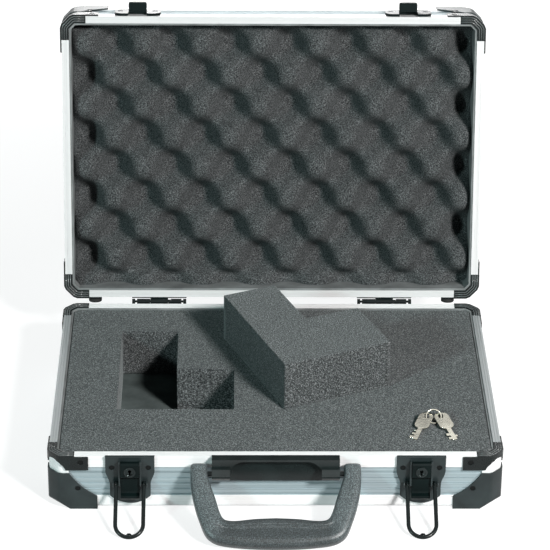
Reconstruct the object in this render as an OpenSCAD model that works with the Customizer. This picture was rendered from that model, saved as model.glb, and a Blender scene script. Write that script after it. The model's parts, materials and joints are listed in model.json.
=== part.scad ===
// Aluminium attache case, open, with foam inserts. Millimetres, +Z up.
// The origin is on the surface the case lies on, below the middle of the base. The front faces -Y.

/* [Case] */
// Overall width across the corner pieces
case_w = 330; // [280:1:420]
// Overall depth across the corner pieces, front to rear
case_d = 228; // [200:1:300]
// Height of the base from the table to its rim
base_h = 45; // [42:0.5:60]
// Height of the lid from its rim to its top
lid_h = 40; // [38:0.5:55]
// Turn of the open lid from closed
open_angle = 102.65; // [95:0.05:110]
// Gap between the two rims when the lid is shut
rim_gap = 0.4; // [0.2:0.1:1]

/* [Shell] */
// 45 degree chamfer on the upright corners
corner_c = 8.5; // [6:0.5:12]
// Length that rounds off each end of that chamfer on the outside
corner_t = 1.8; // [0.5:0.1:2]
// Thickness of the plastic corner pieces
guard_t = 1.2; // [0.8:0.1:2]
// Wall thickness of the aluminium profiles
skin_t = 0.8; // [0.6:0.1:1.2]
// Thickness of the ribbed wall boards
panel_t = 4; // [3:0.1:5]
// Thickness of the floor and top boards
floor_t = 2.4; // [2:0.1:4]
// Height of the rim profile on the outside of the wall
rim_leg = 9.9; // [8:0.1:12]
// Height of the edge profile on the outside of the wall
edge_leg = 11; // [8:0.5:13]
// Width of the edge profile on the underside
edge_foot = 12; // [8:0.5:16]
// Outer rounding of the edge profile
edge_r = 2.4; // [1:0.1:3]
// Distance between the grooves of the wall boards
groove_pitch = 4.6; // [3:0.1:8]
// Width of each groove
groove_w = 1; // [0.6:0.1:1.5]
// Depth of each groove
groove_t = 0.6; // [0.3:0.1:1]

/* [Corner pieces] */
// Length of a rim corner on the rim face
arm_l = 20; // [16:0.5:26]
// Thickness of a rim corner under the rim face
block_t = 2.5; // [2:0.1:3.5]
// Reach of a rim corner's wall tab from the corner
tab_l = 30; // [28:0.5:36]
// Depth of the wall tab below the rim
tab_h = 12; // [11:0.5:14]
// Radius of the arch cut under a rim corner
arch_r = 9.5; // [8:0.5:11]
// Least depth of a rim corner above the arch
arch_drop = 4; // [3.5:0.5:6]
// Reach of a lower guard along the wall
guard_reach = 36; // [32:0.5:42]
// Width of a lower guard at its top edge
guard_neck = 16; // [14:0.5:18]
// Height of a lower guard at its far end
guard_foot = 10.9; // [9:0.1:14]
// Depth of a lower guard's top edge below the rim
guard_top = 14.8; // [13:0.1:18]
// Radius of a lower guard's hollowed edge
guard_r = 51.5; // [40:0.5:70]
// Length cut off the bottom edges at each lower corner
facet_p = 16.3; // [13:0.1:18]
// Height cut off each lower corner
facet_q = 13; // [10:0.5:16]
// Radius of the rivet heads
rivet_r = 2; // [1.5:0.1:2.5]
// Radius of the rivet shanks
shank_r = 1.2; // [0.8:0.1:1.4]

/* [Foam] */
// Thickness of the grey lining sheet
lining_t = 1.6; // [0.5:0.1:2]
// Depth of the base foam's top below the rim
foam_drop = 1; // [0.5:0.1:3]
// Thickness of the pad under the base foam
pad_t = 1; // [0.5:0.1:3]
// Edge of one foam cell
cell = 14.5; // [12:0.5:16]
// Distance of the pocket from the left side of the case
pocket_x = 48; // [45:1:65]
// Distance of the pocket from the front of the case
pocket_y = 67.5; // [54:0.5:84]
// Corner of the loose block, left to right
block_x = 7.2; // [0:0.2:20]
// Corner of the loose block, front to rear
block_y = -48; // [-60:0.5:-40]
// Turn of the loose block
block_turn = 23.1; // [0:0.1:40]
// Depth of the lid foam's peaks below the lid rim
peak_drop = 6; // [5.5:0.5:9]
// Height of the lid foam's peaks above its valleys
wave_h = 22; // [10:0.5:26]
// Distance between peaks, left to right
wave_x = 45.75; // [36:0.25:56]
// Distance between peaks, front to rear
wave_y = 49.25; // [36:0.25:56]
// Place of a peak, right of the middle of the lid
peak_x = 12.5; // [0:0.5:24]
// Place of a peak, forward of the hinge side of the lid
peak_y = 80; // [60:0.5:100]

/* [Hinges] */
// Distance of each hinge from the side of the case
hinge_x = 75.5; // [60:0.5:90]
// Width of a hinge leaf
leaf_w = 45; // [40:1:60]
// Height of a hinge leaf
leaf_h = 13; // [10:0.5:16]
// Thickness of a hinge leaf
leaf_t = 1; // [0.8:0.1:1.2]
// Distance of the hinge axis behind the wall
hinge_out = 3.5; // [3.4:0.1:5]
// Outer radius of the knuckles
knuckle_r = 2.1; // [1.8:0.1:2.1]
// Radius of the hinge pin
hinge_pin_r = 0.9; // [0.6:0.1:1]
// Length of the middle knuckle
knuckle_mid = 14; // [10:0.5:20]
// Length of each outer knuckle
knuckle_end = 10.4; // [8:0.2:13]

/* [Latches] */
// Distance of each latch from the side of the case
latch_x = 60; // [57:0.2:75]
// Width of the latch plate at its top
latch_w = 35.4; // [34:0.2:40]
// Width of the latch plate at its bottom
latch_foot_w = 29.4; // [28:0.2:32]
// Rise of the latch plate above the rim
latch_rise = 0.2; // [0:0.1:1.2]
// Depth of the latch plate's lower end below the rim
latch_drop = 39.2; // [36:0.2:40]
// Thickness of the latch plate
plate_t = 2; // [1.5:0.1:2.2]
// Width of the lever
lever_w = 13.6; // [12:0.2:14.4]
// Height of the lever's lower end below the rim
lever_drop = 32.6; // [31:0.2:34]
// Reach of the lever out from the wall
lever_out = 7.5; // [7:0.1:9]
// Depth of the lever's pivot below the rim
lever_z = 4.6; // [4.4:0.1:5.5]
// Distance of the lever's pivot from the wall
lever_y = 4; // [3.9:0.1:4.6]
// Radius of the lever pin
lever_pin_r = 1; // [0.8:0.1:1.2]
// Radius of the lock plug
plug_r = 3.4; // [3:0.1:4]
// Depth of the lock plug below the rim
plug_z = 9.6; // [9:0.1:10]
// Wire radius of the bail
bail_r = 1.5; // [1.2:0.1:1.6]
// Length of the bail from its pivot to the middle of its far bar
bail_l = 41.5; // [40:0.5:46]
// Distance between the middles of the bail's legs
bail_w = 20; // [19.8:0.2:22]
// Depth of the bail's pivot below the rim
bail_z = 21.5; // [20:0.5:23]
// Distance of the bail's pivot from the wall
bail_y = 5; // [4.8:0.1:6]
// Width of the catch plate on the lid
catch_w = 35.7; // [32:0.1:38]
// Reach of the catch hook out from the wall
hook_out = 9; // [8.5:0.1:9.5]

/* [Handle] */
// Gap between the bracket and each arm of the handle
bracket_gap = 3; // [2:0.1:5]
// Height of the bracket
bracket_h = 20.5; // [18:0.5:24]
// Reach of the bracket out from the wall
bracket_out = 7; // [5:0.5:8]
// Radius of the bracket's barrels
barrel_r = 4.6; // [4:0.1:5]
// Length of each barrel
barrel_l = 13; // [10:0.5:15]
// Overall width of the handle
handle_w = 122.8; // [118:0.2:130]
// Width of each handle arm at its pivot
arm_w = 12.4; // [10:0.2:14]
// Length of the handle from its pivot to the outside of its grip
handle_l = 58.4; // [54:0.2:64]
// Depth of the grip, inside to outside
grip_d = 23; // [20:0.5:28]
// Thickness of the handle
handle_t = 12; // [10:0.5:14]
// Depth of the handle's pivot below the rim
handle_z = 10.6; // [10:0.1:13]
// Distance of the handle's pivot from the wall
handle_y = 8; // [7.5:0.1:9]
// Radius of the handle pins
handle_pin_r = 2; // [1.5:0.1:2.4]

/* [Feet and keys] */
// Radius of the rear feet
foot_r = 5.2; // [4:0.1:5.2]
// Height of the rear feet
foot_h = 4.4; // [3:0.1:4.5]
// Distance of the rear feet from the sides of the case
foot_x = 24.4; // [22:0.2:24.6]
// Distance of the key ring from the right side of the case
ring_x = 48; // [40:0.5:60]
// Distance of the key ring from the front of the case
ring_y = 51; // [48:0.5:70]
// Radius of the key ring
ring_r = 5.5; // [5.5:0.5:8]
// Wire radius of the key ring
ring_wire = 0.5; // [0.4:0.1:0.6]
// Lean of the key ring, with its rear side up
ring_lean = 35; // [28:1:40]
// Width of a key's bow
bow_w = 10.8; // [9:0.2:11]
// Length of a key's bow
bow_l = 19; // [16:0.5:22]
// Length of a key from the ring to its tip
key_l = 29; // [26:0.5:34]
// Thickness of a key
key_t = 1; // [0.8:0.1:1]

/* [Hidden] */
$fn = 48;
// running clearance between pieces that turn, and between pieces set into each other
run_gap = 0.05;
slide_gap = 0.3;
over = 1;

rim_w = 2 * skin_t + panel_t;
alu_in = guard_t;
panel_in = guard_t + skin_t;
shell_in = panel_in + panel_t;
rim_in = guard_t + rim_w;
foam_in = rim_in + lining_t + slide_gap;
wall_y = case_d / 2 - guard_t;
board_t = guard_t + skin_t + floor_t;
inner_leg = rim_leg + 2;
post_core = corner_c + 1.5;
post_leg = corner_c + 6.1;
edge_end = facet_p + 2.7;
tab_drop = 1;
lining_drop = 0.8;
rivet_sink = 0.4;
tab_rivet = [24.4, 5.4];
guard_rivet = [22, 17.6];
hinge_mid = case_w / 2 - hinge_x;
hinge_y = wall_y + hinge_out;
hinge_z = base_h + rim_gap / 2;
latch_mid = case_w / 2 - latch_x;

pocket_l = 8 * cell;
pocket_w = 6 * cell;
bar_w = 3 * cell;
toe_d = 4 * cell;
foam_top = base_h - foam_drop;
pad_top = board_t + pad_t;

lever_back = plate_t + slide_gap;
cheek_t = 1.2;
plug_ring = 0.9;
cheek_x = lever_w / 2 + 0.2;
stub_r = 1.2;
knob_r = 1.8;
eye_r = 2.4;
latch_rivet = [13.2, 9.2];
catch_rivet = [13.4, 12];
hinge_rivet = [16.5, 8.4];
hook_r = bail_w / 2 - bail_r - 1.3;
hook_z = bail_l - bail_w / 2 - bail_z - rim_gap;
hook_seat = hook_z + hook_r - 1.5;
catch_low = 1.8;
window_bow = 3.4;
window_l = hook_seat - 5 - window_bow;
bail_rest = asin((base_h - bail_z - bail_r - 0.1) / bail_l);

pivot_h = base_h - handle_z;
grip_r = handle_t / 2;
handle_rest = asin((pivot_h - grip_r - 0.1) / (handle_l - grip_r));
bracket_w = handle_w - 2 * (arm_w + bracket_gap);
pin_in = bracket_w / 2 - barrel_l + 2;
pin_out = handle_w / 2 - 4;

foot_z = foot_r + 2.7;
bow_edge = 3.8;
blade_w = 3.4;
key_rise = ring_r * sin(ring_lean) + ring_wire;
key_tilt = asin((key_rise - key_t / 2 - 0.1) / key_l);
slot_l = (key_t / 2 + ring_wire) / tan(ring_lean - key_tilt) + slide_gap + 0.5;

corners = [[-1, -1], [1, -1], [-1, 1], [1, 1]];
ends = [-1, 1];

silver = "#d9dcdc";
board_blue = "#a3afb5";
plastic_black = "#2a2d2e";
lining_grey = "#7d8181";
foam_grey = "#4a4d4e";

// Places. A shell is drawn with its rim at z = 0 and its outside below it.
module at_base() translate([0, 0, base_h]) children();
module at_lid() translate([0, hinge_y, hinge_z]) rotate([-open_angle, 0, 0])
  translate([0, -hinge_y, rim_gap / 2]) mirror([0, 0, 1]) children();
// A spot on the front or rear wall (side -1 or 1) or on an end wall, with z pointing out of the wall
module on_long_wall(side, x, z) translate([x, side * case_d / 2, z]) rotate([-side * 90, 0, 0]) children();
module on_end_wall(side, y, z) translate([side * case_w / 2, y, z]) rotate([0, side * 90, 0]) children();
// A profile of the front wall, drawn as [distance out from the wall, height], carried along the wall
module along_front(x0, x1) translate([x0, -wall_y, 0]) rotate([90, 0, 90]) linear_extrude(x1 - x0)
  mirror([1, 0]) children();
module x_rod(r, x0, x1) translate([x0, 0, 0]) rotate([0, 90, 0]) cylinder(r = r, h = x1 - x0);
// Part of a ring about the x axis, with its angles counted from straight down towards the rear
module x_sector(r0, r1, a0, a1, x0, x1) translate([x0, 0, 0]) rotate([0, 90, 0]) rotate([0, 0, a0])
  rotate_extrude(angle = a1 - a0) translate([r0, 0]) square([r1 - r0, x1 - x0]);

// The case's outline from above, drawn in by some distance, with its corners chamfered
function sharp_outline(i) = let (a = case_w / 2 - i, b = case_d / 2 - i, c = corner_c - i * (2 - sqrt(2)))
  [[a - c, -b], [a, c - b], [a, b - c], [a - c, b], [c - a, b], [-a, b - c], [-a, c - b], [c - a, -b]];
// Each end of a chamfer is cut once more, by less the further the outline is drawn in
function outline(i) = let (p = sharp_outline(i), cut = corner_t - i * tan(11.25) / cos(11.25))
  cut <= 0 ? p : [for (k = [0 : 7], s = ends) let (side = p[(k + s + 8) % 8] - p[k])
    p[k] + cut * side / norm(side)];
module slab(i, z0, z1) translate([0, 0, z0]) linear_extrude(z1 - z0) polygon(outline(i));
module ring(i0, i1, z0, z1) difference() {
  slab(i0, z0, z1);
  slab(i1, z0 - over, z1 + over);
}
module corner_box(c, reach, h) translate([c[0] * case_w / 2, c[1] * case_d / 2, -h - over])
  translate([c[0] > 0 ? -reach : -over, c[1] > 0 ? -reach : -over, 0])
  cube([reach + over, reach + over, h + 2 * over]);

// The slanting cut across each lower corner
facet_n = [1 / facet_p, 1 / facet_p, 1 / facet_q];
facet_tilt = acos(facet_n[2] / norm(facet_n));
cut_span = 80;
module facet_cut(h, c, i) translate([c[0] * case_w / 2, c[1] * case_d / 2, -h])
  rotate([0, facet_tilt, atan2(-c[1], -c[0])])
  translate([-cut_span / 2, -cut_span / 2, 1 / norm(facet_n) + i - cut_span]) cube(cut_span);

// Rivets: where they sit, as [x, wall side, z, how far the piece they hold stands out past the corner pieces]
function hinge_spots() = [for (s = ends, e = ends)
  [s * hinge_mid + e * hinge_rivet[0], 1, -hinge_rivet[1], leaf_t - guard_t]];
function latch_spots() = [for (s = ends, e = ends)
  [s * latch_mid + e * latch_rivet[0], -1, -latch_rivet[1], plate_t - guard_t]];
function catch_spots() = [for (s = ends, e = ends)
  [s * latch_mid + e * catch_rivet[0], -1, -catch_rivet[1], plate_t - guard_t]];
function tab_spots() = [for (s = ends) [s * (case_w / 2 - tab_rivet[0]), -1, -tab_rivet[1], 0]];
function guard_spots(h) = [for (c = corners)
  [c[0] * (case_w / 2 - guard_rivet[0]), c[1], guard_rivet[1] - h, 0]];
module long_spots(spots) for (s = spots) on_long_wall(s[1], s[0], s[2]) children();
module end_spots(drop, along) for (c = corners) on_end_wall(c[0], c[1] * (case_d / 2 - along), drop)
  children();
module rivet(proud, seat) {
  translate([0, 0, -seat]) cylinder(r = rivet_r, h = seat + proud - rivet_sink);
  translate([0, 0, -rim_in]) cylinder(r = shank_r, h = rim_in - seat + over / 2);
}
module head_hole() translate([0, 0, -over - plate_t]) cylinder(r = rivet_r + run_gap, h = plate_t + 2 * over);
module shank_hole() translate([0, 0, -rim_in - over]) cylinder(r = shank_r + run_gap, h = rim_in + 2 * over);
module long_bores(h, side, spots)
  long_spots([for (s = concat(spots, tab_spots(), guard_spots(h))) if (s[1] == side) s]) shank_hole();
module end_bores(h) {
  end_spots(-tab_rivet[1], tab_rivet[0]) shank_hole();
  end_spots(guard_rivet[1] - h, guard_rivet[0]) shank_hole();
}
module rivets(h, spots) {
  for (s = concat(spots, tab_spots())) long_spots([s]) rivet(s[3], guard_t);
  end_spots(-tab_rivet[1], tab_rivet[0]) rivet(0, guard_t);
  long_spots(guard_spots(h)) rivet(0, panel_in);
  end_spots(guard_rivet[1] - h, guard_rivet[0]) rivet(0, panel_in);
}

// Pieces that the base and the lid both have
module board(h) difference() {
  slab(panel_in, guard_t + skin_t - h, board_t - h);
  for (c = corners) facet_cut(h, c, guard_t);
}
module wall_board(half_l, h) difference() {
  translate([-half_l, 0, board_t - h]) cube([2 * half_l, panel_t, h - board_t - block_t]);
  for (z = [rim_leg + groove_pitch : groove_pitch : h - edge_leg - groove_w])
    translate([-half_l - over, -over, -z - groove_w / 2])
      cube([2 * (half_l + over), groove_t + over, groove_w]);
}
module long_board(h, side, spots) difference() {
  rotate([0, 0, side > 0 ? 180 : 0]) translate([0, panel_in - case_d / 2, 0])
    wall_board(case_w / 2 - guard_t - post_core, h);
  long_bores(h, side, spots);
}
module end_boards(h) difference() {
  for (side = ends) rotate([0, 0, side * 90]) translate([0, panel_in - case_w / 2, 0])
    wall_board(case_d / 2 - guard_t - post_core, h);
  end_bores(h);
}
module rim_profile() difference() {
  polygon([[0, -rim_leg], [skin_t, -rim_leg], [skin_t, -skin_t], [rim_w - skin_t, -skin_t],
    [rim_w - skin_t, -inner_leg], [rim_w, -inner_leg], [rim_w, 0], [0, 0]]);
  for (u = [rim_w / 3, rim_w * 2 / 3]) translate([u - 0.2, -0.3]) square([0.4, over]);
}
module edge_profile() difference() {
  union() {
    translate([edge_r, 0]) square([edge_foot - edge_r, edge_leg - guard_t]);
    translate([0, edge_r]) square([edge_foot, edge_leg - guard_t - edge_r]);
    translate([edge_r, edge_r]) circle(edge_r);
  }
  translate([skin_t, skin_t]) square([edge_foot, edge_leg]);
}
module along_wall(half_l, half_d) translate([-half_l, guard_t - half_d, 0]) rotate([90, 0, 90])
  linear_extrude(2 * half_l) children();
module long_rims(h, spots) difference() {
  for (a = [0, 180]) rotate([0, 0, a]) along_wall(case_w / 2 - arm_l, case_d / 2) rim_profile();
  for (side = ends) long_bores(h, side, spots);
}
module short_rims(h) difference() {
  for (a = [90, 270]) rotate([0, 0, a]) along_wall(case_d / 2 - arm_l, case_w / 2) rim_profile();
  end_bores(h);
}
module edges(h) {
  for (a = [0, 180]) rotate([0, 0, a]) translate([0, 0, guard_t - h])
    along_wall(case_w / 2 - edge_end, case_d / 2) edge_profile();
  for (a = [90, 270]) rotate([0, 0, a]) translate([0, 0, guard_t - h])
    along_wall(case_d / 2 - edge_end, case_w / 2) edge_profile();
}
module corner_posts(h) for (c = corners) difference() {
  union() {
    intersection() {
      ring(alu_in, shell_in, board_t - h, -block_t);
      corner_box(c, guard_t + post_core, h);
    }
    intersection() {
      ring(alu_in, panel_in, guard_t - h, -block_t);
      corner_box(c, guard_t + post_leg, h);
    }
  }
  facet_cut(h, c, guard_t);
}
module rim_corner(h, c) difference() {
  union() {
    intersection() {
      ring(0, rim_in, -block_t, 0);
      corner_box(c, arm_l, block_t);
    }
    intersection() {
      ring(0, guard_t, -tab_h, -tab_drop);
      corner_box(c, tab_l, tab_h);
    }
  }
  // two ridges stand between the grooves along the arms
  for (u = [rim_in / 4, rim_in / 2, rim_in * 3 / 4]) ring(u - 0.4, u + 0.4, -0.6, over);
  translate([c[0] * case_w / 2, c[1] * case_d / 2, -arch_drop - arch_r]) rotate([0, 90, atan2(c[1], c[0])])
    cylinder(r = arch_r, h = 4 * corner_c, center = true);
  if (c[1] < 0) long_spots(tab_spots()) head_hole();
  end_spots(-tab_rivet[1], tab_rivet[0]) head_hole();
}
// Step from the middle of two points to the middle of the arc through them, away from the corner
function arc_step(p, q, r) = let (d = q - p, n = [d[1], -d[0]] / norm(d)) n * sqrt(r * r - d * d / 4);
module guard(h, c) {
  far_end = [guard_reach, guard_foot];
  top_end = [guard_neck, h - guard_top];
  wall_mid = (far_end + top_end) / 2 + arc_step(far_end, top_end, guard_r);
  floor_mid = (guard_reach + guard_foot) / 2 + arc_step(far_end, [guard_foot, guard_reach], guard_r)[0];
  difference() {
    intersection() {
      slab(0, -h, -guard_top);
      corner_box(c, guard_reach, h);
    }
    difference() {
      slab(guard_t, guard_t - h, 0);
      facet_cut(h, c, guard_t);
    }
    facet_cut(h, c, 0);
    on_long_wall(c[1], c[0] * (case_w / 2 - wall_mid[0]), wall_mid[1] - h)
      cylinder(r = guard_r, h = 4 * guard_t, center = true, $fn = 96);
    on_end_wall(c[0], c[1] * (case_d / 2 - wall_mid[0]), wall_mid[1] - h)
      cylinder(r = guard_r, h = 4 * guard_t, center = true, $fn = 96);
    translate([c[0] * (case_w / 2 - floor_mid), c[1] * (case_d / 2 - floor_mid), -h])
      cylinder(r = guard_r, h = 4 * guard_t, center = true, $fn = 96);
    long_spots(guard_spots(h)) head_hole();
    end_spots(guard_rivet[1] - h, guard_rivet[0]) head_hole();
  }
}
module lining(h) ring(rim_in, rim_in + lining_t, board_t - h, -lining_drop);
module feet() for (s = ends) on_long_wall(1, s * (case_w / 2 - foot_x), -foot_z) rotate_extrude() {
  square([foot_r, foot_h - 1]);
  square([foot_r - 1, foot_h]);
  translate([foot_r - 1, foot_h - 1]) circle(1);
}

module base_floor_panel() color(board_blue) at_base() board(base_h);
module base_front_panel() color(board_blue) at_base() long_board(base_h, -1, latch_spots());
module base_rear_panel() color(board_blue) at_base() long_board(base_h, 1, hinge_spots());
module base_end_panels() color(board_blue) at_base() end_boards(base_h);
module base_edges() color(silver) at_base() edges(base_h);
module base_long_rims() color(silver) at_base() long_rims(base_h, concat(latch_spots(), hinge_spots()));
module base_short_rims() color(silver) at_base() short_rims(base_h);
module base_corner_posts() color(silver) at_base() corner_posts(base_h);
module base_rim_corner_front_left() color(plastic_black) at_base() rim_corner(base_h, corners[0]);
module base_rim_corner_front_right() color(plastic_black) at_base() rim_corner(base_h, corners[1]);
module base_rim_corner_rear_left() color(plastic_black) at_base() rim_corner(base_h, corners[2]);
module base_rim_corner_rear_right() color(plastic_black) at_base() rim_corner(base_h, corners[3]);
module base_guard_front_left() color(plastic_black) at_base() guard(base_h, corners[0]);
module base_guard_front_right() color(plastic_black) at_base() guard(base_h, corners[1]);
module base_guard_rear_left() color(plastic_black) at_base() guard(base_h, corners[2]);
module base_guard_rear_right() color(plastic_black) at_base() guard(base_h, corners[3]);
module base_rivets() color(silver) at_base() rivets(base_h, concat(latch_spots(), hinge_spots()));
module base_lining() color(lining_grey) at_base() lining(base_h);
module base_feet() color(plastic_black) at_base() feet();

module lid_top_panel() color(board_blue) at_lid() board(lid_h);
module lid_front_panel() color(board_blue) at_lid() long_board(lid_h, -1, catch_spots());
module lid_rear_panel() color(board_blue) at_lid() long_board(lid_h, 1, hinge_spots());
module lid_end_panels() color(board_blue) at_lid() end_boards(lid_h);
module lid_edges() color(silver) at_lid() edges(lid_h);
module lid_long_rims() color(silver) at_lid() long_rims(lid_h, concat(catch_spots(), hinge_spots()));
module lid_short_rims() color(silver) at_lid() short_rims(lid_h);
module lid_corner_posts() color(silver) at_lid() corner_posts(lid_h);
module lid_rim_corner_front_left() color(plastic_black) at_lid() rim_corner(lid_h, corners[0]);
module lid_rim_corner_front_right() color(plastic_black) at_lid() rim_corner(lid_h, corners[1]);
module lid_rim_corner_rear_left() color(plastic_black) at_lid() rim_corner(lid_h, corners[2]);
module lid_rim_corner_rear_right() color(plastic_black) at_lid() rim_corner(lid_h, corners[3]);
module lid_guard_front_left() color(plastic_black) at_lid() guard(lid_h, corners[0]);
module lid_guard_front_right() color(plastic_black) at_lid() guard(lid_h, corners[1]);
module lid_guard_rear_left() color(plastic_black) at_lid() guard(lid_h, corners[2]);
module lid_guard_rear_right() color(plastic_black) at_lid() guard(lid_h, corners[3]);
module lid_rivets() color(silver) at_lid() rivets(lid_h, concat(catch_spots(), hinge_spots()));
module lid_lining() color(lining_grey) at_lid() lining(lid_h);
module lid_feet() color(plastic_black) at_lid() feet();

// The foam. The loose block is the piece that was taken out of the pocket.
module block_outline(gap) polygon([[gap, gap], [pocket_w - gap, gap], [pocket_w - gap, toe_d - gap],
  [bar_w - gap, toe_d - gap], [bar_w - gap, pocket_l - gap], [gap, pocket_l - gap]]);
module floor_pad() color(foam_grey) at_base() slab(foam_in, board_t - base_h, pad_top - base_h);
module base_foam() color(foam_grey) difference() {
  at_base() slab(foam_in, pad_top - base_h, -foam_drop);
  translate([pocket_x - case_w / 2, pocket_y - case_d / 2, pad_top - over])
    linear_extrude(base_h) block_outline(0);
}
module foam_block() color(foam_grey) translate([block_x, block_y, foam_top]) rotate([0, 0, block_turn])
  linear_extrude(foam_top - pad_top) block_outline(slide_gap);

// The lid foam's waves, as a grid of heights over its back
lid_foam_in = foam_in + (corner_c - foam_in * (2 - sqrt(2))) / 2 + slide_gap;
wave_half = [case_w / 2 - lid_foam_in, case_d / 2 - lid_foam_in];
wave_n = [36, 24];
function wave_xy(i, j) = [wave_half[0] * (2 * i / wave_n[0] - 1), wave_half[1] * (2 * j / wave_n[1] - 1)];
function wave_z(p) = -peak_drop - wave_h / 2 + wave_h / 2
  * cos(360 * (p[0] - peak_x) / wave_x) * cos(360 * (case_d / 2 - peak_y - p[1]) / wave_y);
function at_top(i, j) = j * (wave_n[0] + 1) + i;
wave_edge = concat([for (i = [0 : wave_n[0]]) [i, 0]], [for (j = [1 : wave_n[1]]) [wave_n[0], j]],
  [for (i = [1 : wave_n[0]]) [wave_n[0] - i, wave_n[1]]], [for (j = [1 : wave_n[1] - 1]) [0, wave_n[1] - j]]);
module lid_foam() {
  back_z = board_t - lid_h;
  top_points = [for (j = [0 : wave_n[1]], i = [0 : wave_n[0]]) let (p = wave_xy(i, j))
    [p[0], p[1], wave_z(p)]];
  back_points = [for (e = wave_edge) let (p = wave_xy(e[0], e[1])) [p[0], p[1], back_z]];
  n = len(top_points);
  m = len(wave_edge);
  top_faces = [for (j = [0 : wave_n[1] - 1], i = [0 : wave_n[0] - 1], k = [0, 1])
    k == 0 ? [at_top(i, j), at_top(i, j + 1), at_top(i + 1, j + 1)]
      : [at_top(i, j), at_top(i + 1, j + 1), at_top(i + 1, j)]];
  side_faces = [for (k = [0 : m - 1], half = [0, 1]) let (a = wave_edge[k], b = wave_edge[(k + 1) % m])
    half == 0 ? [n + k, at_top(a[0], a[1]), at_top(b[0], b[1])]
      : [n + k, at_top(b[0], b[1]), n + (k + 1) % m]];
  back_faces = [for (k = [0 : m - 1]) [n + m, n + k, n + (k + 1) % m]];
  color(foam_grey) at_lid() polyhedron(concat(top_points, back_points, [[0, 0, back_z]]),
    concat(top_faces, side_faces, back_faces));
}

// The latches
module on_front(t0, t1) translate([0, -wall_y - t0, 0]) rotate([90, 0, 0]) linear_extrude(t1 - t0) children();
module at_latch(s) translate([s * latch_mid, 0, base_h]) children();
module front_pin(y, z) translate([0, -wall_y - y, -z]) children();
taper_z = [12, 23.5];
bow_r = 20.3;
function plate_half(k) = (latch_w + latch_foot_w) / 4 + (latch_w - latch_foot_w) / 4 * cos(180 * k);
module latch_outline() intersection() {
  polygon(concat([[-latch_w / 2, latch_rise], [latch_w / 2, latch_rise]],
    [for (k = [0 : 0.125 : 1]) [plate_half(k), -taper_z[0] - k * (taper_z[1] - taper_z[0])]],
    [[latch_foot_w / 2, -latch_drop], [-latch_foot_w / 2, -latch_drop]],
    [for (k = [1 : -0.125 : 0]) [-plate_half(k), -taper_z[0] - k * (taper_z[1] - taper_z[0])]]));
  union() {
    translate([0, bow_r - latch_drop]) circle(bow_r, $fn = 96);
    translate([-latch_w, bow_r - latch_drop - 6]) square([2 * latch_w, latch_drop]);
  }
}
module latch_plate(s) color(plastic_black) at_latch(s) difference() {
  union() {
    on_front(0, plate_t) latch_outline();
    along_front(-latch_w / 2, latch_w / 2) translate([0, -0.8]) square([plate_t + 0.6, latch_rise + 0.8]);
    for (e = ends) mirror([e < 0 ? 1 : 0, 0, 0]) {
      along_front(cheek_x, cheek_x + cheek_t) polygon([[0, 2.2 - lever_z], [lever_y + 1.4, 1.9 - lever_z],
        [lever_y + 2, -lever_z], [bail_y + 1.4, 3 - bail_z], [bail_y + 1.8, -bail_z], [bail_y, -bail_z - 2.2],
        [0, -bail_z - 4]]);
      front_pin(bail_y, bail_z) {
        x_rod(stub_r, cheek_x, bail_w / 2 + bail_r + slide_gap);
        x_rod(stub_r + 0.8, bail_w / 2 + bail_r + slide_gap, bail_w / 2 + bail_r + slide_gap + 0.8);
      }
    }
  }
  front_pin(lever_y, lever_z) x_rod(lever_pin_r + run_gap, -bail_w, bail_w);
  for (e = ends) on_long_wall(-1, e * latch_rivet[0], -latch_rivet[1]) translate([0, 0, plate_t - guard_t])
    head_hole();
}
module lever(s) color(plastic_black) at_latch(s) difference() {
  along_front(-lever_w / 2, lever_w / 2) {
    polygon([[lever_back, 1 - lever_drop], [lever_back + 0.8, -lever_drop], [lever_out, -lever_drop],
      [lever_out + 0.9, 1.2 - lever_drop], [lever_out + 0.5, 3 - lever_drop],
      [lever_back + 3, 4 - lever_drop], [lever_back + 2.1, 5.6 - lever_drop],
      [lever_back + 2.1, -plug_z - plug_r - 4], [lever_out - 0.4, -plug_z - plug_r - 1.6],
      [lever_out, -plug_z - plug_r - 0.8],
      [lever_out, 0.6 - lever_z], [lever_out - 0.9, lever_y - lever_back - lever_z],
      [lever_y, lever_y - lever_back - lever_z], [lever_back, -lever_z]]);
    translate([lever_y, -lever_z]) circle(lever_y - lever_back);
  }
  front_pin(lever_y, lever_z) x_rod(lever_pin_r + run_gap, -lever_w, lever_w);
  front_pin(0, plug_z) rotate([90, 0, 0]) {
    translate([0, 0, lever_back + 1.2]) cylinder(r = plug_r + run_gap, h = lever_out);
    cylinder(r = plug_r - 1, h = lever_out);
  }
}
module lock_plug(s) color(silver) at_latch(s) front_pin(0, plug_z) rotate([90, 0, 0]) difference() {
  union() {
    translate([0, 0, lever_back + 1.3]) cylinder(r = plug_r, h = lever_out - lever_back - 0.7);
    translate([0, 0, lever_out + run_gap]) cylinder(r = plug_r + plug_ring, h = 0.6 - run_gap);
  }
  translate([0, 0, lever_out + 0.1]) cylinder(r = plug_r - 0.6, h = lever_out);
  translate([0, 0.6, lever_back + 2.5]) cylinder(r = 1.2, h = lever_out);
  translate([-0.5, -2.6, lever_back + 2.5]) cube([1, 3.2, lever_out]);
}
module at_bail(s) at_latch(s) front_pin(bail_y, bail_z) rotate([bail_rest, 0, 0]) children();
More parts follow.
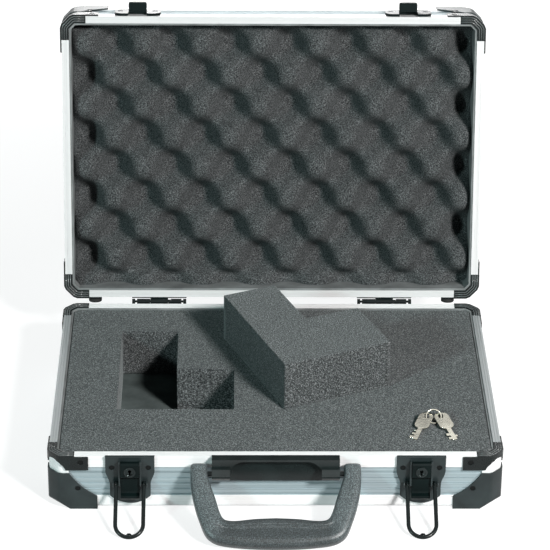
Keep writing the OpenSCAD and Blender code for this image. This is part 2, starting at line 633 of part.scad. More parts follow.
module bail(s) color(plastic_black) at_bail(s) difference() {
  union() {
    for (e = ends) {
      translate([e * bail_w / 2, 0, 0]) rotate([90, 0, 0]) cylinder(r = bail_r, h = bail_l - bail_w / 2);
      translate([e * bail_w / 2, 0, 0]) x_rod(eye_r, -bail_r, bail_r);
    }
    translate([0, bail_w / 2 - bail_l, 0]) rotate([0, 0, 180]) rotate_extrude(angle = 180)
      translate([bail_w / 2, 0]) circle(bail_r);
    translate([0, -bail_l, 0]) rotate([-90, 0, 0]) cylinder(r = knob_r, h = bail_r + 0.8);
  }
  for (e = ends) translate([e * bail_w / 2, 0, 0]) x_rod(stub_r + run_gap, -2 * bail_r, 2 * bail_r);
}
module catch_outline() {
  wing_r = 6;
  low = catch_low;
  top = catch_low + 20.4;
  difference() {
    union() {
      translate([-catch_w / 2, -top + wing_r]) square([catch_w, top - low - 2 * wing_r]);
      translate([wing_r - catch_w / 2, -top]) square([catch_w - 2 * wing_r, top - low]);
      for (e = ends, z = [low + wing_r, top - wing_r])
        translate([e * (catch_w / 2 - wing_r), -z]) circle(wing_r);
    }
    translate([-hook_r, -window_l]) square([2 * hook_r, window_l]);
    translate([0, -window_l]) intersection() {
      circle(hook_r);
      translate([-hook_r, -window_bow]) square([2 * hook_r, window_bow + over]);
    }
  }
}
module catch(s) color(plastic_black) at_lid() translate([s * latch_mid, 0, 0]) difference() {
  union() {
    on_front(0, plate_t) catch_outline();
    intersection() {
      along_front(-hook_r, hook_r) polygon([[0, 5 - hook_seat], [hook_out - 1.4, 4.4 - hook_seat],
        [hook_out, 3 - hook_seat], [hook_out, -hook_seat - 4], [hook_out - 2.6, -hook_seat - 4],
        [hook_out - 2.8, -hook_seat], [0, -hook_seat]]);
      on_front(0, 2 * hook_out) {
        translate([0, -hook_z]) circle(hook_r);
        translate([-hook_r, -hook_z]) square([2 * hook_r, hook_z]);
      }
    }
  }
  for (e = ends) on_long_wall(-1, e * catch_rivet[0], -catch_rivet[1]) translate([0, 0, plate_t - guard_t])
    head_hole();
}
module left_catch() catch(-1);
module right_catch() catch(1);
module left_latch_plate() latch_plate(-1);
module right_latch_plate() latch_plate(1);
module left_lever() lever(-1);
module right_lever() lever(1);
module left_lock_plug() lock_plug(-1);
module right_lock_plug() lock_plug(1);
module left_bail() bail(-1);
module right_bail() bail(1);
module pivot_pins() color(silver) at_base() {
  for (s = ends) translate([s * latch_mid, 0, 0]) front_pin(lever_y, lever_z)
    x_rod(lever_pin_r, -cheek_x - cheek_t, cheek_x + cheek_t);
  for (e = ends) mirror([e < 0 ? 1 : 0, 0, 0]) front_pin(handle_y, handle_z)
    x_rod(handle_pin_r, pin_in, pin_out);
}

// The handle
bracket_z = -0.4;
hood_t = 1.6;
arch_half = bracket_w / 2 - barrel_l + 0.5;
arch_corner = 11;
module handle_bracket() color(plastic_black) at_base() difference() {
  union() {
    on_front(0, plate_t) translate([-bracket_w / 2, -bracket_z - bracket_h]) square([bracket_w, bracket_h]);
    on_front(0, bracket_out) difference() {
      translate([-bracket_w / 2, -handle_z - barrel_r]) square([bracket_w, handle_z + barrel_r - bracket_z]);
      translate([-arch_half, -2 * bracket_h])
        square([2 * arch_half, 2 * bracket_h - bracket_z - hood_t - arch_corner]);
      translate([arch_corner - arch_half, -bracket_h])
        square([2 * (arch_half - arch_corner), bracket_h - bracket_z - hood_t]);
      for (e = ends) translate([e * (arch_half - arch_corner), -bracket_z - hood_t - arch_corner])
        circle(arch_corner);
    }
    for (e = ends) mirror([e < 0 ? 1 : 0, 0, 0]) front_pin(handle_y, handle_z)
      x_rod(barrel_r, bracket_w / 2 - barrel_l, bracket_w / 2);
  }
  front_pin(handle_y, handle_z) x_rod(handle_pin_r + run_gap, -bracket_w, bracket_w);
}
arm_end = 0.81 * handle_l;
grip_l = handle_l - grip_d;
function outer_half(l) = handle_w / 2 - 10.6 * pow(max(0, l - 4) / (arm_end - 4), 1.8);
function inner_half(l) = handle_w / 2 - arm_w - 0.335 * max(0, l - 3);
handle_out = concat([for (k = [0 : 12]) let (l = k * (arm_end + grip_r) / 12 - grip_r) [outer_half(l), -l]],
  [[handle_w / 2 - 14.4, 6.5 - handle_l], [handle_w / 2 - 19.6, 3.8 - handle_l],
  [handle_w / 2 - 36, 1.2 - handle_l], [0, -handle_l]]);
handle_in = [[inner_half(0), 2 * grip_r], [inner_half(3), -3], [inner_half(grip_l - 5), 5 - grip_l],
  [inner_half(grip_l) - 0.8, -grip_l], [inner_half(grip_l) - 5.4, -grip_l - 2.3],
  [16, -grip_l - 0.7], [0, -grip_l]];
module mirrored_outline(p)
  polygon(concat(p, [for (k = [len(p) - 2 : -1 : 0]) [-p[k][0], p[k][1]]]));
module at_handle() at_base() front_pin(handle_y, handle_z) rotate([handle_rest, 0, 0]) children();
module handle() color(plastic_black) at_handle() difference() {
  intersection() {
    translate([0, 0, -handle_t / 2]) linear_extrude(handle_t) difference() {
      mirrored_outline(handle_out);
      mirrored_outline(handle_in);
    }
    union() {
      x_rod(grip_r, -handle_w, handle_w);
      translate([0, grip_r - handle_l, 0]) x_rod(grip_r, -handle_w, handle_w);
      translate([-handle_w, grip_r - handle_l, -grip_r]) cube([2 * handle_w, handle_l - grip_r, handle_t]);
    }
  }
  for (e = ends) mirror([e < 0 ? 1 : 0, 0, 0]) x_rod(handle_pin_r + run_gap, pin_in, pin_out + slide_gap);
}

// The hinges. A tooth on each lid knuckle stops the lid in a notch of the base knuckle beside it.
knuckle_gap = 0.2;
leaf_top = 0.6;
leaf_taper = 1;
tooth = [60, 110];
tooth_l = 2;
tooth_gap = 1;
module leaf(spans) for (s = ends) translate([s * hinge_mid, 0, 0]) difference() {
  union() {
    translate([0, wall_y + leaf_t, 0]) rotate([90, 0, 0]) linear_extrude(leaf_t)
      polygon([[-leaf_w / 2, -leaf_h], [leaf_w / 2, -leaf_h], [leaf_w / 2, 5 - leaf_h],
      [leaf_w / 2 - leaf_taper, -leaf_top], [leaf_taper - leaf_w / 2, -leaf_top], [-leaf_w / 2, 5 - leaf_h]]);
    for (x = spans) {
      translate([0, hinge_y, rim_gap / 2]) x_rod(knuckle_r, x[0], x[1]);
      translate([x[0], wall_y, rim_gap / 2 - knuckle_r])
        cube([x[1] - x[0], hinge_out, knuckle_r - rim_gap / 2 - leaf_top]);
    }
  }
  translate([0, hinge_y, rim_gap / 2]) x_rod(hinge_pin_r + run_gap, -leaf_w, leaf_w);
  for (e = ends) on_long_wall(1, e * hinge_rivet[0], -hinge_rivet[1]) translate([0, 0, leaf_t - guard_t])
    head_hole();
}
knuckle_in = knuckle_mid / 2 + knuckle_gap;
knuckle_out = knuckle_in + knuckle_end;
module at_hinges() for (s = ends) translate([s * hinge_mid, hinge_y, hinge_z]) children();
// The base leaves also have an ear past each end of the barrel, at the end of the leaf
ear = [leaf_w / 2 - leaf_taper - 2.4, leaf_w / 2 - leaf_taper];
module base_hinge_leaves() color(plastic_black) difference() {
  at_base() leaf([[-knuckle_out, -knuckle_in], [knuckle_in, knuckle_out], ear, [-ear[1], -ear[0]]]);
  at_hinges() x_sector(hinge_pin_r, knuckle_r + over / 2, tooth[0] - tooth_gap,
    tooth[1] + open_angle + tooth_gap, 0, knuckle_in + tooth_l + knuckle_gap);
}
module lid_hinge_leaves() color(plastic_black) {
  at_lid() leaf([[-knuckle_mid / 2, knuckle_mid / 2]]);
  at_hinges() x_sector(hinge_pin_r + 3 * run_gap, knuckle_r - 3 * run_gap, tooth[0], tooth[1],
    knuckle_mid / 2 - tooth_l, knuckle_in + tooth_l);
}
pin_half = max(knuckle_out, ear[1]);
module hinge_pins() color(silver) at_hinges() x_rod(hinge_pin_r, -pin_half, pin_half);

// The keys lie on the foam with the ring through their bows
module round_rect(w, l, r) {
  square([w, l - 2 * r], center = true);
  square([w - 2 * r, l], center = true);
  for (x = ends, y = ends) translate([x * (w / 2 - r), y * (l / 2 - r)]) circle(r);
}
module at_ring() translate([case_w / 2 - ring_x, ring_y - case_d / 2, foam_top + key_rise]) children();
module key(x, turn, bits) at_ring() translate([x, 0, 0]) difference() {
  rotate([0, 0, turn]) rotate([key_tilt, 0, 0]) translate([0, 0, -key_t / 2]) linear_extrude(key_t) {
    translate([0, bow_edge - bow_l / 2]) round_rect(bow_w, bow_l, 0.42 * bow_w);
    translate([-blade_w / 2, -key_l]) square([blade_w, key_l - bow_l / 2]);
    for (b = bits) translate([b[0] > 0 ? 0 : -blade_w / 2 - b[1], b[2] - key_l])
      square([blade_w / 2 + b[1], b[3]]);
  }
  translate([x > 0 ? -0.5 : 0.5, 0, -bow_w / 2]) linear_extrude(bow_w) round_rect(3.6, 2 * slot_l, 1.2);
}
module keys() color(silver) {
  key(-ring_r, -20, [[-1, 3, 1, 2.4], [-1, 2.2, 5, 2.2], [-1, 1.4, 9, 1.6]]);
  key(ring_r, 17, [[-1, 2.2, 1, 2.4], [-1, 2.6, 5.4, 2.6], [1, 1.6, 3, 2]]);
}
module key_ring() color(silver) at_ring() rotate([ring_lean, 0, 0])
  rotate_extrude() translate([ring_r, 0]) circle(ring_wire, $fn = 24);

base_floor_panel();
base_front_panel();
base_rear_panel();
base_end_panels();
base_edges();
base_long_rims();
base_short_rims();
base_corner_posts();
base_rim_corner_front_left();
base_rim_corner_front_right();
base_rim_corner_rear_left();
base_rim_corner_rear_right();
base_guard_front_left();
base_guard_front_right();
base_guard_rear_left();
base_guard_rear_right();
base_rivets();
base_lining();
base_feet();
floor_pad();
base_foam();
foam_block();
lid_top_panel();
lid_front_panel();
lid_rear_panel();
lid_end_panels();
lid_edges();
lid_long_rims();
lid_short_rims();
lid_corner_posts();
lid_rim_corner_front_left();
lid_rim_corner_front_right();
lid_rim_corner_rear_left();
lid_rim_corner_rear_right();
lid_guard_front_left();
lid_guard_front_right();
lid_guard_rear_left();
lid_guard_rear_right();
lid_rivets();
lid_lining();
lid_feet();
lid_foam();
left_catch();
right_catch();
left_latch_plate();
right_latch_plate();
left_lever();
right_lever();
left_lock_plug();
right_lock_plug();
left_bail();
right_bail();
pivot_pins();
handle_bracket();
handle();
base_hinge_leaves();
lid_hinge_leaves();
hinge_pins();
keys();
key_ring();
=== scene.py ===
import json
import math

import bpy
import numpy as np
from mathutils import Matrix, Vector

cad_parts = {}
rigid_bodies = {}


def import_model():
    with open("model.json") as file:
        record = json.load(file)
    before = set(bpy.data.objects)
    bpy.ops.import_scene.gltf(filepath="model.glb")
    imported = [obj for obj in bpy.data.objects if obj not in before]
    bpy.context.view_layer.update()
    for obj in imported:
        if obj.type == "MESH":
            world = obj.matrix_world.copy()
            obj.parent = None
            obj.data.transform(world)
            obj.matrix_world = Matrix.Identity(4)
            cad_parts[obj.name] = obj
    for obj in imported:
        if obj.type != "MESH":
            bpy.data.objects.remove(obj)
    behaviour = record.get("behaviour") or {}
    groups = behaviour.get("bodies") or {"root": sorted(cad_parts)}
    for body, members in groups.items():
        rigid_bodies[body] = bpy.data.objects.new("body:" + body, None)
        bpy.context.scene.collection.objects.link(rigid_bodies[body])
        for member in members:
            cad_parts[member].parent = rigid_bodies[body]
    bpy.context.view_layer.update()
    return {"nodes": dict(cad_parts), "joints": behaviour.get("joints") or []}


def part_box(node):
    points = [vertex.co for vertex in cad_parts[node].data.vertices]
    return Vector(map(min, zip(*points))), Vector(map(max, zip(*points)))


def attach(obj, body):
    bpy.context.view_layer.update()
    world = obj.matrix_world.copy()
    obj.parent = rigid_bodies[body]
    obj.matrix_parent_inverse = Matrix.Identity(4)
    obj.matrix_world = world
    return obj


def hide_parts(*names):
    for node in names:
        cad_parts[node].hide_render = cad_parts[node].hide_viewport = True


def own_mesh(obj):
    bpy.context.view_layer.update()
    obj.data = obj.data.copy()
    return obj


for thing in list(bpy.data.objects):
    bpy.data.objects.remove(thing)
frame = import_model()
nodes = frame["nodes"]
joints = {joint["name"]: joint for joint in frame["joints"]}
mm = 0.001
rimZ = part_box("base_long_rims")[1].z  # the plane where base and lid meet
hingeY, hingeZ = joints["lid_hinge"]["pos_m"][1:]
openTurn = math.radians(joints["lid_hinge"]["range_deg"][1])
print("frame loaded with", len(nodes), "nodes")


# Camera, with its angles in degrees and its focal length in pixels of the picture
camera = dict(place=(-31.6 * mm, -1718.4 * mm, 1057.2 * mm), pitch=28.3, yaw=1.061, roll=-0.574,
              focal=2632.2, pixels=550, sensor=36)


# It looks along fwd, which yaw turns to the right and pitch turns down. Roll turns the picture about fwd
def makeCamera(c):
    pitch, yaw, roll = (math.radians(c[k]) for k in ("pitch", "yaw", "roll"))
    fwd = np.array([math.sin(yaw) * math.cos(pitch), math.cos(yaw) * math.cos(pitch), -math.sin(pitch)])
    level = np.array([math.cos(yaw), -math.sin(yaw), 0])
    plumb = np.cross(fwd, level)
    right = math.cos(roll) * level + math.sin(roll) * plumb
    down = math.cos(roll) * plumb - math.sin(roll) * level
    data = bpy.data.cameras.new("camera")
    data.sensor_width = c["sensor"]
    data.lens = c["focal"] / c["pixels"] * c["sensor"]
    seen = bpy.data.objects.new("camera", data)
    turned = np.eye(4)
    turned[:3, :3] = np.stack([right, -down, -fwd], axis=1)
    turned[:3, 3] = c["place"]
    seen.matrix_world = Matrix(turned.tolist())
    bpy.context.scene.collection.objects.link(seen)
    bpy.context.scene.camera = seen


makeCamera(camera)


# Node helpers. values are set on the sockets, links are outputs that feed them
def addNode(tree, kind, values=None, links=None, **settings):
    node = tree.nodes.new("ShaderNode" + kind)
    for key, value in settings.items():
        setattr(node, key, value)
    for socket, value in (values or {}).items():
        node.inputs[socket].default_value = value
    for socket, source in (links or {}).items():
        tree.links.new(source, node.inputs[socket])
    return node


def startMaterial(name, values):
    material = bpy.data.materials.new(name)
    material.use_nodes = True
    tree = material.node_tree
    shader = tree.nodes["Principled BSDF"]
    for socket, value in values.items():
        shader.inputs[socket].default_value = value
    place = addNode(tree, "TexCoord").outputs["Object"]
    return material, tree, shader, place


def rampNode(tree, source, stops):
    ramp = addNode(tree, "ValToRGB", None, {"Fac": source})
    marks = ramp.color_ramp.elements
    while len(marks) < len(stops):
        marks.new(0.5)
    for mark, (position, color) in zip(marks, stops):
        mark.position = position
        mark.color = (*color, 1)
    return ramp.outputs["Color"]


def noiseNode(tree, place, scale, detail=2.0, rough=0.5):
    return addNode(tree, "TexNoise", {"Scale": scale, "Detail": detail, "Roughness": rough},
                   {"Vector": place}).outputs["Fac"]


# From low to high while the source goes from start to end
def rangeNode(tree, source, low, high, start=0.0, end=1.0):
    return addNode(tree, "MapRange", {"From Min": start, "From Max": end, "To Min": low, "To Max": high},
                   {"Value": source}).outputs["Result"]


def mathNode(tree, one, two, operation="MULTIPLY"):
    return addNode(tree, "Math", None, {0: one, 1: two}, operation=operation).outputs[0]


def bumpNode(tree, shader, height, strength, distance):
    bump = addNode(tree, "Bump", {"Strength": strength, "Distance": distance}, {"Height": height})
    tree.links.new(bump.outputs["Normal"], shader.inputs["Normal"])


# The base colour is a colour times a shade
def tintNode(tree, shader, color, shade):
    tone = addNode(tree, "Mix", {"Factor": 1.0}, {"A": color, "B": shade}, data_type="RGBA",
                   blend_type="MULTIPLY")
    tree.links.new(tone.outputs["Result"], shader.inputs["Base Color"])


def scaled(values, factor):
    return tuple(factor * value for value in values)


# Floor, world and lamps. The world is white to what sees it directly or by gloss, and dim as light. The
# floor glows by glowNear close to the case and by glowFar beyond it, between the two distances
stageLook = dict(ambient=(0.009, 0.016, 0.016, 1), white=(1, 1, 1, 1), floorColor=(0.3, 0.3, 0.3, 1),
                 floorHalf=14.0, glowNear=0.8, glowFar=1.0, near=0.35, far=1.2)
# each lamp: where it stands as seen from the case, how far, how wide, its power and its tint
lamps = dict(key=dict(to=(0.465, -0.635, 0.617), far=1.9, wide=0.3, power=47.0, tint=(1, 0.99, 0.98)),
             fill=dict(to=(-0.659, -0.615, 0.432), far=2.6, wide=0.28, power=26, tint=(0.72, 1, 0.99)),
             back=dict(to=(0.0, 0.95, 0.31), far=2.6, wide=0.7, power=42, tint=(1, 1, 1)))


def seenDirectly(tree):
    path = addNode(tree, "LightPath").outputs
    direct = path["Is Camera Ray"]
    for other in ("Is Glossy Ray", "Is Transmission Ray"):
        direct = mathNode(tree, direct, path[other], "MAXIMUM")
    return direct


def makeWorld(look):
    scene = bpy.context.scene
    scene.view_settings.view_transform = "Standard"
    world = bpy.data.worlds.new("studio")
    scene.world = world
    world.use_nodes = True
    tree = world.node_tree
    shade = addNode(tree, "Mix", {"A": look["ambient"], "B": look["white"]},
                    {"Factor": seenDirectly(tree)}, data_type="RGBA")
    tree.links.new(shade.outputs["Result"], tree.nodes["Background"].inputs["Color"])


def makeFloor(look):
    half = look["floorHalf"]
    data = bpy.data.meshes.new("floor")
    corners = [(-half, -half, 0), (half, -half, 0), (half, half, 0), (-half, half, 0)]
    data.from_pydata(corners, [], [(0, 1, 2, 3)])
    floor = bpy.data.objects.new("floor", data)
    bpy.context.scene.collection.objects.link(floor)
    material = bpy.data.materials.new("floorPaper")
    material.use_nodes = True
    tree = material.node_tree
    tree.nodes.clear()
    plain = addNode(tree, "BsdfDiffuse", {"Color": look["floorColor"]})
    place = addNode(tree, "TexCoord").outputs["Object"]
    away = addNode(tree, "VectorMath", None, {0: place}, operation="LENGTH").outputs["Value"]
    paper = rangeNode(tree, away, look["glowNear"], look["glowFar"], look["near"], look["far"])
    strength = mathNode(tree, paper, seenDirectly(tree))
    glow = addNode(tree, "Emission", None, {"Strength": strength})
    both = addNode(tree, "AddShader", None, {0: plain.outputs[0], 1: glow.outputs[0]})
    addNode(tree, "OutputMaterial", None, {"Surface": both.outputs[0]})
    data.materials.append(material)


def makeLamp(name, look, aim):
    lamp = bpy.data.lights.new(name, "AREA")
    lamp.shape = "DISK"
    lamp.size = look["wide"]
    lamp.energy = look["power"]
    lamp.color = look["tint"]
    holder = bpy.data.objects.new(name, lamp)
    holder.location = scaled(look["to"], look["far"])
    holder.visible_camera = False
    bpy.context.scene.collection.objects.link(holder)
    track = holder.constraints.new("TRACK_TO")
    track.target = aim
    track.track_axis = "TRACK_NEGATIVE_Z"
    track.up_axis = "UP_Y"


def makeLamps():
    aim = bpy.data.objects.new("aim", None)
    bpy.context.scene.collection.objects.link(aim)
    for name, look in lamps.items():
        makeLamp(name, look, aim)


makeWorld(stageLook)
makeFloor(stageLook)
makeLamps()
print("stage ready")


# Materials. What all finishes of a kind share stands above the kind, and each finish has a row below
foamGrain = dict(rough=0.95, sheenRough=0.5, sheenTint=(0.92, 1, 1, 1), detail=3.0, detailRough=0.6,
                 poreScale=0.8, driftScale=22.0, stops=(0.34, 0.50, 0.68), dark=0.16, middle=0.92,
                 cool=(0.10, 0.07, 0.04), blue=0.3, pit=(1.25, 0.55), drift=(0.86, 1.14),
                 bumpDepth=0.6 * mm, caseHalf=100 * mm)


# A grey that is short of red and has a little more blue
def coolGrey(value, cool):
    return value * (1 - cool), value, value * (1 + cool * foamGrain["blue"])


# Light cell walls on dark pores, each darker in its pit. The tone given at the front and at the rear of the
# case is painted shade, darker towards the rear, and the tone given for the cut sides is painted shade,
# darker than the top by how they face
def foamMaterial(name, color, cell, bump, sheen, light, fade=None, cut=None):
    g = foamGrain
    material, tree, shader, place = startMaterial(name, {
        "Roughness": g["rough"], "Specular IOR Level": 0.0, "Sheen Weight": sheen,
        "Sheen Roughness": g["sheenRough"], "Sheen Tint": g["sheenTint"]})
    fine = noiseNode(tree, place, 1 / cell, g["detail"], g["detailRough"])
    pores = addNode(tree, "TexVoronoi", {"Scale": g["poreScale"] / cell}, {"Vector": place})
    broad = noiseNode(tree, place, g["driftScale"])
    greys = [coolGrey(k * color, cool) for k, cool in zip((g["dark"], g["middle"], light), g["cool"])]
    speck = rampNode(tree, fine, list(zip(g["stops"], greys)))
    pit = rangeNode(tree, pores.outputs["Distance"], *g["pit"])
    shade = mathNode(tree, pit, rangeNode(tree, broad, *g["drift"]))
    # painted shade: the foam darkens towards the rear of the case
    if fade:
        depth = addNode(tree, "SeparateXYZ", None, {"Vector": place}).outputs["Y"]
        shade = mathNode(tree, shade, rangeNode(tree, depth, *fade, -g["caseHalf"], g["caseHalf"]))
    # painted shade: the sides darken by how far they turn from up
    if cut:
        normal = addNode(tree, "TexCoord").outputs["Normal"]
        facing = addNode(tree, "SeparateXYZ", None, {"Vector": normal}).outputs["Z"]
        shade = mathNode(tree, shade, rangeNode(tree, facing, cut, 1.0))
    tintNode(tree, shader, speck, shade)
    bumpNode(tree, shader, fine, bump, g["bumpDepth"])
    return material


# The base foam and the block are one foam: the base carries painted shade towards the rear, and the block is
# lighter as painted light on its top, with painted shade on its sides
foams = dict(
    baseFoam=dict(color=0.074, cell=0.85 * mm, bump=0.45, sheen=0.3, light=3.9, fade=(1.02, 0.84)),
    blockFoam=dict(color=0.081, cell=0.85 * mm, bump=0.5, sheen=0.3, light=4.2, cut=0.87),
    lidFoam=dict(color=0.075, cell=0.8 * mm, bump=0.5, sheen=0.05, light=2.4),
)

metalGrain = dict(detail=3.0, detailRough=0.6, stops=(0.3, 0.7), roughSpread=(0.8, 1.25), bump=0.15,
                  bumpDepth=0.05 * mm)


# Drawn metal and film: noise stretched along the lines. turn lays the pieces of the open lid flat first
def streakedMetal(name, color, metal, rough, scale, contrast, turn=0.0, shine=0.3):
    g = metalGrain
    material, tree, shader, place = startMaterial(name, {"Metallic": metal, "Specular IOR Level": shine})
    turned = addNode(tree, "VectorRotate", {"Angle": turn}, {"Vector": place}, rotation_type="X_AXIS")
    drawn = addNode(tree, "Mapping", {"Scale": scale}, {"Vector": turned.outputs["Vector"]})
    streak = noiseNode(tree, drawn.outputs["Vector"], 1.0, g["detail"], g["detailRough"])
    tones = [scaled(color, k) for k in (1 - contrast, 1 + contrast)]
    tree.links.new(rampNode(tree, streak, list(zip(g["stops"], tones))), shader.inputs["Base Color"])
    tree.links.new(rangeNode(tree, streak, *scaled(g["roughSpread"], rough)), shader.inputs["Roughness"])
    bumpNode(tree, shader, streak, g["bump"], g["bumpDepth"])
    return material


alongX, alongY = (3, 1400, 1400), (1400, 3, 1400)  # brushing lines
filmTone, filmGrain = (0.345, 0.415, 0.44), (3, 3, 1100)
# The rails are one aluminium: the base's short rails are darker as painted shade in place of the brushed
# metal's reflection, and the lid's rails are darker as painted shade for how the lamps light the open lid
metals = dict(
    railX=dict(color=(0.88, 0.88, 0.88), metal=0.15, rough=0.4, scale=alongX, contrast=0.06),
    sideRail=dict(color=(0.33, 0.35, 0.355), metal=0.15, rough=0.4, scale=alongY, contrast=0.25),
    lidRailX=dict(color=(0.605, 0.605, 0.605), metal=0.15, rough=0.4, scale=alongX, contrast=0.06),
    lidRailY=dict(color=(0.68, 0.675, 0.675), metal=0.15, rough=0.4, scale=alongY, contrast=0.06,
                  turn=openTurn),
    edgeRail=dict(color=(0.90, 0.905, 0.905), metal=0.2, rough=0.36, scale=alongX, contrast=0.08),
    boardFilm=dict(color=filmTone, metal=0.3, rough=0.4, scale=filmGrain, contrast=0.2),
    lidBoardFilm=dict(color=filmTone, metal=0.1, rough=0.6, scale=filmGrain, contrast=0.2, turn=openTurn,
                      shine=0.12),
    topFilm=dict(color=filmTone, metal=0.1, rough=0.6, scale=alongX, contrast=0.18, turn=openTurn,
                 shine=0.12),
)

fineGrain = dict(driftScale=60.0, driftDetail=3.0, stops=(0.3, 0.7), drift=(0.75, 1.3),
                 roughSpread=(0.75, 1.2), bumpDepth=0.1 * mm)


# Moulded plastic, coated metal and plain sheet: a fine grain in gloss and bump, and a broad drift of tone
def grainedFinish(name, color, rough, grain, bump, metal=0.0, shine=0.5):
    g = fineGrain
    material, tree, shader, place = startMaterial(name, {"Metallic": metal, "Specular IOR Level": shine})
    fine = noiseNode(tree, place, 1 / grain)
    broad = noiseNode(tree, place, g["driftScale"], g["driftDetail"])
    tones = [scaled(color, k) for k in g["drift"]]
    tree.links.new(rampNode(tree, broad, list(zip(g["stops"], tones))), shader.inputs["Base Color"])
    tree.links.new(rangeNode(tree, fine, *scaled(g["roughSpread"], rough)), shader.inputs["Roughness"])
    bumpNode(tree, shader, fine, bump, g["bumpDepth"])
    return material


grained = dict(
    padFoam=dict(color=(0.086, 0.103, 0.101), rough=0.95, grain=0.6 * mm, bump=0.25, shine=0.0),
    guardPlastic=dict(color=(0.026, 0.033, 0.034), rough=0.5, grain=0.5 * mm, bump=0.12, shine=0.2),
    cornerPlastic=dict(color=(0.007, 0.010, 0.010), rough=0.28, grain=0.5 * mm, bump=0.08, shine=0.25),
    # the ribs' light colour is a painted highlight
    ribPlastic=dict(color=(0.09, 0.10, 0.10), rough=0.25, grain=0.5 * mm, bump=0.08, shine=0.6),
    blackMetal=dict(color=(0.004, 0.007, 0.007), rough=0.22, grain=0.4 * mm, bump=0.08, shine=0.2),
    leverMetal=dict(color=(0.003, 0.007, 0.007), rough=0.3, grain=0.4 * mm, bump=0.08, shine=0.1),
    plateMetal=dict(color=(0.020, 0.028, 0.029), rough=0.34, grain=0.4 * mm, bump=0.1, shine=0.3),
    bracketMetal=dict(color=(0.010, 0.015, 0.015), rough=0.2, grain=0.4 * mm, bump=0.06, shine=0.45),
    rivetSteel=dict(color=(0.003, 0.004, 0.004), rough=0.35, grain=0.4 * mm, bump=0.1, shine=0.15),
    plugSteel=dict(color=(0.030, 0.037, 0.037), rough=0.22, grain=0.4 * mm, bump=0.1, metal=1.0),
    nickelPlate=dict(color=(0.66, 0.64, 0.55), rough=0.16, grain=1.3 * mm, bump=0.55, metal=1.0),
    liningSheet=dict(color=(0.17, 0.18, 0.18), rough=0.9, grain=0.8 * mm, bump=0.5, shine=0.1),
    footRubber=dict(color=(0.02, 0.02, 0.02), rough=0.8, grain=0.6 * mm, bump=0.3, shine=0.2),
)

gripGrain = dict(detail=3.0, detailRough=0.6, driftScale=45.0, tones=(0.22, 1, 3.2),
                 stops=(0.36, 0.5, 0.66), drift=(0.85, 1.15), roughSpread=(0.8, 1.2), bumpDepth=0.15 * mm)


# Grip plastic: light and dark specks, times the tone that the handle's mesh carries, which is painted sheen
# on the arms and painted shade on the grip
def speckledPlastic(name, color, rough, grain, bump, shine):
    g = gripGrain
    material, tree, shader, place = startMaterial(name, {"Specular IOR Level": shine})
    fine = noiseNode(tree, place, 1 / grain, g["detail"], g["detailRough"])
    broad = noiseNode(tree, place, g["driftScale"])
    speck = rampNode(tree, fine, list(zip(g["stops"], [scaled(color, k) for k in g["tones"]])))
    paintedSheenAndShade = addNode(tree, "Attribute", attribute_name="tone").outputs["Fac"]
    tintNode(tree, shader, speck, mathNode(tree, paintedSheenAndShade, rangeNode(tree, broad, *g["drift"])))
    tree.links.new(rangeNode(tree, fine, *scaled(g["roughSpread"], rough)), shader.inputs["Roughness"])
    bumpNode(tree, shader, fine, bump, g["bumpDepth"])
    return material


grips = dict(
    gripPlastic=dict(color=(0.044, 0.053, 0.055), rough=0.36, grain=0.62 * mm, bump=0.7, shine=0.4),
)
finishes = {}
for make, rows in ((foamMaterial, foams), (streakedMetal, metals), (grainedFinish, grained),
                   (speckledPlastic, grips)):
    finishes.update({name: make(name, **row) for name, row in rows.items()})
print("materials ready:", len(finishes))


# Mesh helpers
def makeObject(name, points, faces, finish, body):
    data = bpy.data.meshes.new(name)
    data.from_pydata(points, [], faces)
    data.validate()
    data.shade_smooth()
    piece = bpy.data.objects.new(name, data)
    bpy.context.scene.collection.objects.link(piece)
    data.materials.append(finishes[finish])
    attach(piece, body)
    return piece


# Quads between the rows of a grid whose columns go round. The last row joins the first where it wraps
def ringFaces(rows, columns, wraps=False):
    row = np.arange(rows if wraps else rows - 1)[:, None]
    column = np.arange(columns)[None, :]
    after, beside = (row + 1) % rows, (column + 1) % columns
    corners = [row * columns + column, row * columns + beside,
               after * columns + beside, after * columns + column]
    return np.stack(np.broadcast_arrays(*corners), axis=-1).reshape(-1, 4)


# From 0 to 1 between two values, with a smooth start and end
def ramp01(value, low, high):
    t = np.clip((value - low) / (high - low), 0, 1)
    return t * t * (3 - 2 * t)


# Outlines are met by rays from a middle. A hit is kept as side number and share of the side, so that it
# finds its place again when the outline is drawn in
tiny = dict(across=1e-12, share=1e-7, angle=1e-6, height=1e-6)


# A ray meets a side where start + share * side = reach * ray, solved by cross products. The nearest counts
def rayHits(corners, middle, angles):
    start = corners - middle
    side = np.roll(start, -1, axis=0) - start
    ray = np.stack([np.cos(angles), np.sin(angles)], axis=1)
    across = ray[:, None, 0] * side[None, :, 1] - ray[:, None, 1] * side[None, :, 0]
    across = np.where(np.abs(across) < tiny["across"], tiny["across"], across)
    reach = (start[:, 0] * side[:, 1] - start[:, 1] * side[:, 0])[None, :] / across
    share = (start[None, :, 0] * ray[:, None, 1] - start[None, :, 1] * ray[:, None, 0]) / across
    fits = (reach > 0) & (share > -tiny["share"]) & (share < 1 + tiny["share"])
    which = np.argmin(np.where(fits, reach, np.inf), axis=1)
    return which, np.take_along_axis(share, which[:, None], axis=1)[:, 0].clip(0, 1)


# Each hit is its side's two ends, blended by the share
def onSides(corners, hits):
    which, share = hits
    ends = np.roll(corners, -1, axis=0)
    return corners[which] * (1 - share)[:, None] + ends[which] * share[:, None]


# Angles of the rays to the corners of the outlines, with even steps between them
def rayAngles(middle, outlines, step):
    offsets = np.concatenate(outlines) - middle
    fixed = np.sort(np.arctan2(offsets[:, 1], offsets[:, 0]))
    gaps = np.diff(np.append(fixed, fixed[0] + 2 * math.pi))
    counts = np.ceil(gaps / step).astype(int).clip(1)
    spans = [low + gap * np.arange(count) / count
             for low, gap, count in zip(fixed, gaps, counts) if gap > tiny["angle"]]
    return np.concatenate(spans)


